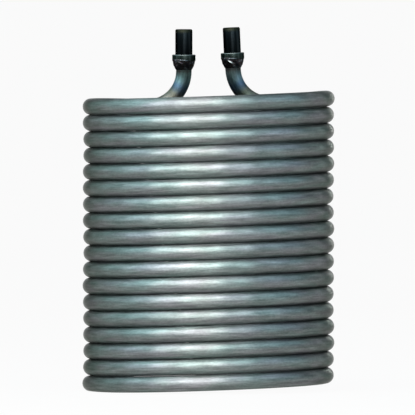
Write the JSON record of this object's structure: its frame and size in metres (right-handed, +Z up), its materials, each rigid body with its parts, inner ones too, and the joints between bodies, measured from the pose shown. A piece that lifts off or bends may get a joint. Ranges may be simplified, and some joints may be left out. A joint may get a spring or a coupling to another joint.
{
  "type": "immersion wort chiller",
  "caption": "Close coil of steel tube that stands in a kettle and cools wort with running water; both tube ends rise from its middle to collars with hose spigots.",
  "frame": {"origin": "on the floor the chiller stands on, on the axis of the coil", "axes": "+Z up along the coil's axis, -Y the front, +X to the right, where the top turn ends"},
  "size_m": [0.2048, 0.2048, 0.2945],
  "materials": {
    "polished_tube": "satin-polished stainless steel",
    "tinted_tube": "stainless steel, heat-tinted blue-grey",
    "turned_collar": "turned stainless steel, smooth",
    "dark_spigot": "turned stainless steel, darkened by heat",
    "weld_bead": "weld bead with a brown to blue heat tint"
  },
  "bodies": {
    "root": {"winding": "polished_tube", "supply_leg": "tinted_tube", "return_leg": "tinted_tube", "supply_collar": "turned_collar", "return_collar": "turned_collar", "supply_spigot": "dark_spigot", "return_spigot": "dark_spigot", "supply_weld": "weld_bead", "return_weld": "weld_bead"}
  },
  "joints": []
}
